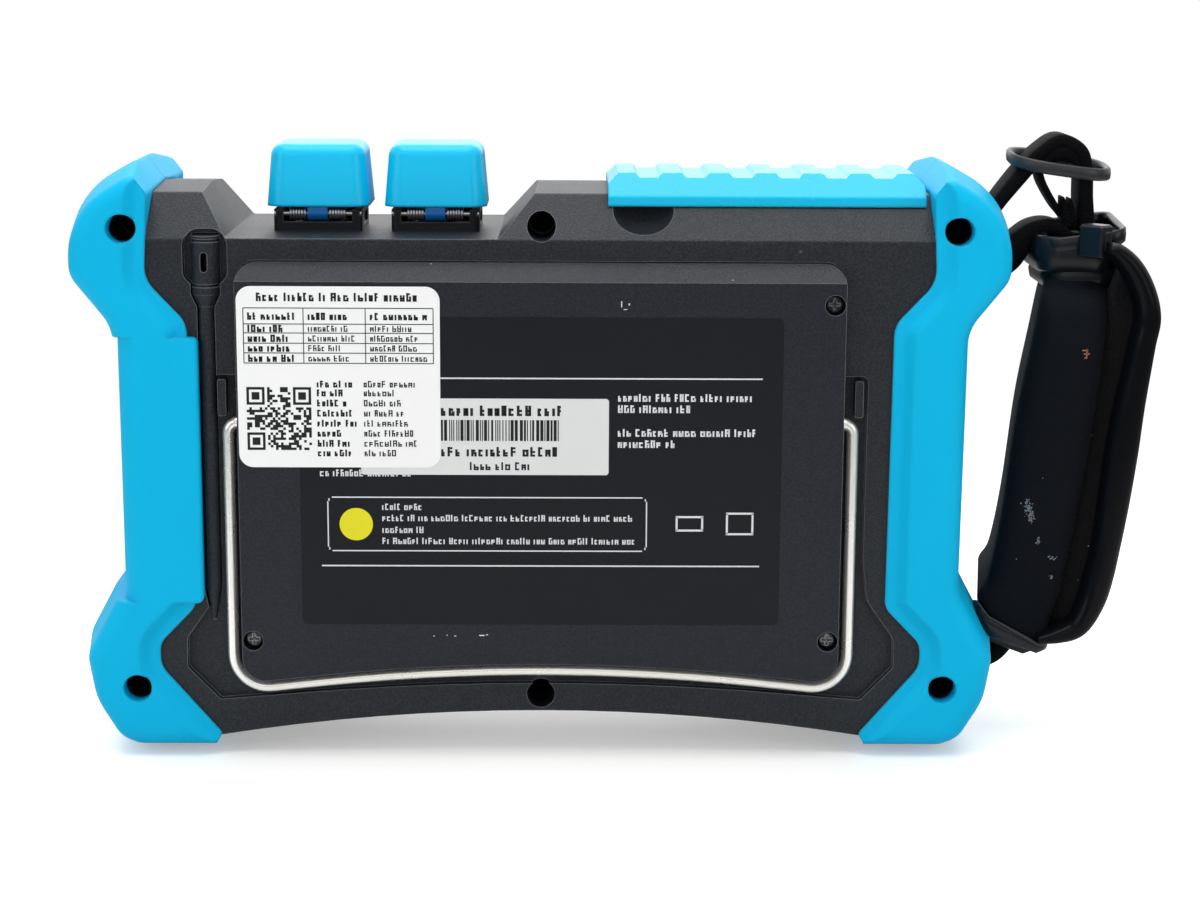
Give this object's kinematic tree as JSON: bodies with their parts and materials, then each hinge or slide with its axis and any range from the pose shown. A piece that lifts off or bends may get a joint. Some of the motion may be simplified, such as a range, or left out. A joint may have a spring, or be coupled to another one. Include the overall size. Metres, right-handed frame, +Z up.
{
  "type": "optical time domain reflectometer",
  "caption": "Handheld fibre tester with rubber corner guards, two capped optical ports, ribbed port lid, wire stand, stylus and side hand strap.",
  "frame": {"origin": "midway between the feet, on the plane the case stands on, at the parting of the two guards left and right", "axes": "+X to the right seen from the battery cover, +Y from the battery cover to the screen, +Z up"},
  "size_m": [0.2723, 0.0663, 0.1554],
  "materials": {
    "shell": "fine texture",
    "guard": "satin",
    "gasket": "matte",
    "screw": "black oxide",
    "wire": "plated wire",
    "trim": "satin",
    "metal": "nickel plated",
    "spring": "blackened",
    "pack": "shrink sleeve",
    "board": "solder mask",
    "glass": "gloss",
    "lens": "clear",
    "overlay": "satin film",
    "label": "satin paper",
    "sticker": "gloss paper",
    "neoprene": "knit",
    "strap_skin": "glossy",
    "webbing": "woven",
    "tie": "nylon",
    "key": "matte"
  },
  "bodies": {
    "case": {"rear_shell": "shell", "front_shell": "shell", "shell_gasket": "gasket", "guard_left_rear": "guard", "guard_right_rear": "guard", "guard_left_front": "guard", "guard_right_front": "guard", "battery_cover": "shell", "battery_cover_screws": "screw", "case_screws": "screw", "stand_stops": "shell", "port_frame_left": "trim", "port_frame_right": "trim", "optical_adapter_left": "metal", "optical_adapter_right": "metal", "cap_hinge_pins": "metal", "cap_springs": "spring", "dc_jack": "trim", "usb_a_jack": "metal", "lan_jack": "metal", "usb_b_jack": "metal", "battery_pack": "pack", "main_board": "board", "optical_module": "metal", "lcd_module": "metal", "touch_glass": "glass", "key_board": "board", "led_light_guides": "lens", "speaker": "trim", "legend_overlay": "overlay", "rating_label": "label", "calibration_sticker": "sticker", "strap_pad": "neoprene", "strap_cover": "strap_skin", "strap_web_upper": "webbing", "strap_web_middle": "webbing", "strap_web_lower": "webbing", "strap_ties": "tie", "strap_anchor_bars": "metal"},
    "stand": {"stand_wire": "wire"},
    "cap_left": {"dust_cap_left": "guard"},
    "cap_right": {"dust_cap_right": "guard"},
    "port_lid": {"top_port_lid": "guard"},
    "pen": {"stylus": "shell"},
    "key_power_body": {"key_power": "key"},
    "key_esc_body": {"key_esc": "key"},
    "key_file_body": {"key_file": "key"},
    "key_up_body": {"key_up": "key"},
    "key_left_body": {"key_left": "key"},
    "key_ok_body": {"key_ok": "key"},
    "key_right_body": {"key_right": "key"},
    "key_down_body": {"key_down": "key"},
    "key_auto_body": {"key_auto": "key"},
    "key_test_body": {"key_test": "key"}
  },
  "joints": [
    {"name": "stand_fold", "type": "hinge", "parent": "case", "child": "stand", "pos_m": [0, -0.028, 0.0854], "axis": [-1, 0, 0], "range_deg": [0, 70]},
    {"name": "cap_left_hinge", "type": "hinge", "parent": "case", "child": "cap_left", "pos_m": [-0.0557, -0.011, 0.1351], "axis": [1, 0, 0], "range_deg": [0, 100], "stiffness_Nm_per_rad": 0.012, "springref_deg": -22.92},
    {"name": "cap_right_hinge", "type": "hinge", "parent": "case", "child": "cap_right", "pos_m": [-0.0265, -0.011, 0.1351], "axis": [1, 0, 0], "range_deg": [0, 100], "stiffness_Nm_per_rad": 0.012, "springref_deg": -22.92},
    {"name": "port_lid_hinge", "type": "hinge", "parent": "case", "child": "port_lid", "pos_m": [0.0943, -0.0028, 0.1434], "axis": [0, 1, 0], "range_deg": [0, 90]},
    {"name": "pen_pull", "type": "slide", "parent": "case", "child": "pen", "axis": [0, -1, 0], "range_m": [0, 0.02]},
    {"name": "key_power_press", "type": "slide", "parent": "case", "child": "key_power_body", "axis": [0, -1, 0], "range_m": [0, 0.0008], "stiffness_N_per_m": 400},
    {"name": "key_esc_press", "type": "slide", "parent": "case", "child": "key_esc_body", "axis": [0, -1, 0], "range_m": [0, 0.0008], "stiffness_N_per_m": 400},
    {"name": "key_file_press", "type": "slide", "parent": "case", "child": "key_file_body", "axis": [0, -1, 0], "range_m": [0, 0.0008], "stiffness_N_per_m": 400},
    {"name": "key_up_press", "type": "slide", "parent": "case", "child": "key_up_body", "axis": [0, -1, 0], "range_m": [0, 0.0008], "stiffness_N_per_m": 400},
    {"name": "key_left_press", "type": "slide", "parent": "case", "child": "key_left_body", "axis": [0, -1, 0], "range_m": [0, 0.0008], "stiffness_N_per_m": 400},
    {"name": "key_ok_press", "type": "slide", "parent": "case", "child": "key_ok_body", "axis": [0, -1, 0], "range_m": [0, 0.0008], "stiffness_N_per_m": 400},
    {"name": "key_right_press", "type": "slide", "parent": "case", "child": "key_right_body", "axis": [0, -1, 0], "range_m": [0, 0.0008], "stiffness_N_per_m": 400},
    {"name": "key_down_press", "type": "slide", "parent": "case", "child": "key_down_body", "axis": [0, -1, 0], "range_m": [0, 0.0008], "stiffness_N_per_m": 400},
    {"name": "key_auto_press", "type": "slide", "parent": "case", "child": "key_auto_body", "axis": [0, -1, 0], "range_m": [0, 0.0008], "stiffness_N_per_m": 400},
    {"name": "key_test_press", "type": "slide", "parent": "case", "child": "key_test_body", "axis": [0, -1, 0], "range_m": [0, 0.0008], "stiffness_N_per_m": 400}
  ]
}
